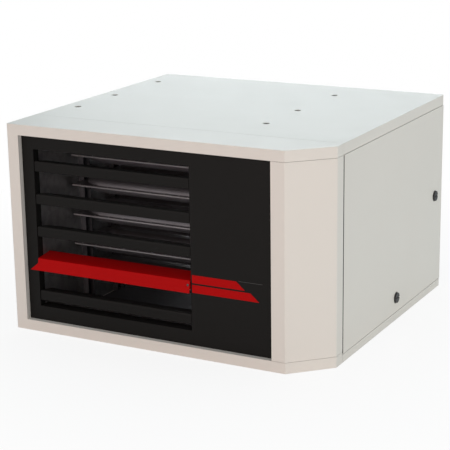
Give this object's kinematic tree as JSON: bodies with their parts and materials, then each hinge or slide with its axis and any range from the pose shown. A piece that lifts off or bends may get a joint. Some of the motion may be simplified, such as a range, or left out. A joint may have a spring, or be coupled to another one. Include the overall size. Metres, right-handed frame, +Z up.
{
  "type": "gas unit heater",
  "caption": "Low gas unit heater with a tilting louvered outlet, chamfered cabinet, heat exchanger, burner compartment behind a hinged door, and a propeller fan in a rear guard.",
  "frame": {"origin": "centre of the cabinet's base, on the underside of the base pan", "axes": "+Z up, -Y the front with the louvers, +X the side with the access door"},
  "size_m": [0.5117, 0.5458, 0.318],
  "materials": {
    "cream_paint": "semi-gloss powder coat",
    "black_paint": "satin",
    "red_paint": "semi-gloss",
    "galvanized": "spangled galvanized sheet",
    "aluminized": "matt aluminized sheet",
    "zinc_plate": "bright zinc plate",
    "steel": "ground steel",
    "black_pipe": "black pipe finish",
    "brass": "turned brass",
    "cast_aluminium": "die cast",
    "motor_paint": "satin",
    "guard_wire": "satin",
    "black_plastic": "moulded",
    "ceramic": "glazed ceramic",
    "circuit_green": "coated board",
    "lamination": "varnished laminations"
  },
  "bodies": {
    "cabinet": {"base_pan": "cream_paint", "top_panel": "cream_paint", "left_side_panel": "cream_paint", "rear_panel": "cream_paint", "front_frame": "cream_paint", "corner_post": "cream_paint", "louver_panel": "black_paint", "accent_stripes": "red_paint", "outlet_duct": "galvanized", "side_baffle": "galvanized", "partition": "galvanized", "element_rack": "galvanized", "heat_element_1": "aluminized", "heat_element_2": "aluminized", "heat_element_3": "aluminized", "heat_element_4": "aluminized", "heat_element_5": "aluminized", "burner_box": "aluminized", "burner_tubes": "aluminized", "gas_manifold": "black_pipe", "manifold_brackets": "galvanized", "gas_orifices": "brass", "gas_valve": "cast_aluminium", "gas_pipe": "black_pipe", "igniter": "ceramic", "flame_sensor": "ceramic", "limit_switch": "black_plastic", "flue_collector": "aluminized", "venter_housing": "aluminized", "venter_motor": "motor_paint", "flue_collar": "aluminized", "pressure_switch": "black_plastic", "control_board": "circuit_green", "transformer": "lamination", "terminal_strip": "black_plastic", "fan_venturi": "cream_paint", "fan_motor": "motor_paint", "motor_band": "zinc_plate", "guard_screws": "zinc_plate", "panel_screws": "zinc_plate", "hanger_nuts": "zinc_plate", "hinge_brackets": "galvanized", "hinge_pins": "steel", "latch_keepers": "galvanized", "guard_grille": "guard_wire", "guard_basket": "guard_wire"},
    "louver_1": {"louver_1": "black_paint"},
    "louver_2": {"louver_2": "black_paint"},
    "louver_3": {"louver_3": "black_paint"},
    "accent_louver": {"accent_louver": "red_paint"},
    "louver_5": {"louver_5": "black_paint"},
    "door": {"access_door": "cream_paint"},
    "rear_latch": {"rear_latch": "black_plastic"},
    "lower_latch": {"lower_latch": "black_plastic"},
    "gas_knob": {"valve_knob": "black_plastic"},
    "fan": {"propeller": "zinc_plate", "fan_hub": "steel", "motor_shaft": "steel"},
    "venter": {"venter_wheel": "zinc_plate", "venter_shaft": "steel"}
  },
  "joints": [
    {"name": "louver_1_tilt", "type": "hinge", "parent": "cabinet", "child": "louver_1", "pos_m": [-0.083, -0.22246, 0.2572], "axis": [1, 0, 0], "range_deg": [-30, 35]},
    {"name": "louver_2_tilt", "type": "hinge", "parent": "cabinet", "child": "louver_2", "pos_m": [-0.083, -0.22246, 0.2072], "axis": [1, 0, 0], "range_deg": [-30, 35]},
    {"name": "louver_3_tilt", "type": "hinge", "parent": "cabinet", "child": "louver_3", "pos_m": [-0.083, -0.22246, 0.1572], "axis": [1, 0, 0], "range_deg": [-30, 35]},
    {"name": "louver_5_tilt", "type": "hinge", "parent": "cabinet", "child": "louver_5", "pos_m": [-0.083, -0.22246, 0.0572], "axis": [1, 0, 0], "range_deg": [-30, 35]},
    {"name": "accent_louver_tilt", "type": "hinge", "parent": "cabinet", "child": "accent_louver", "pos_m": [-0.083, -0.22246, 0.1072], "axis": [-1, 0, 0], "range_deg": [0, 40]},
    {"name": "door_hinge", "type": "hinge", "parent": "cabinet", "child": "door", "pos_m": [0.2494, -0.1548, 0.159], "axis": [0, 0, -1], "range_deg": [0, 105]},
    {"name": "rear_latch_turn", "type": "hinge", "parent": "door", "child": "rear_latch", "pos_m": [0.2545, 0.2053, 0.159], "axis": [1, 0, 0], "range_deg": [0, 90]},
    {"name": "lower_latch_turn", "type": "hinge", "parent": "door", "child": "lower_latch", "pos_m": [0.2545, 0.04277, 0.036], "axis": [1, 0, 0], "range_deg": [0, 90]},
    {"name": "gas_knob_turn", "type": "hinge", "parent": "cabinet", "child": "gas_knob", "pos_m": [0.2016, -0.0412, 0.0968], "axis": [1, 0, 0], "range_deg": [0, 90]},
    {"name": "fan_spin", "type": "hinge", "parent": "cabinet", "child": "fan", "pos_m": [-0.0777, 0.22238, 0.159], "axis": [0, 1, 0], "continuous": true},
    {"name": "venter_spin", "type": "hinge", "parent": "cabinet", "child": "venter", "pos_m": [0.1155, -0.0033, 0.1876], "axis": [1, 0, 0], "continuous": true}
  ]
}
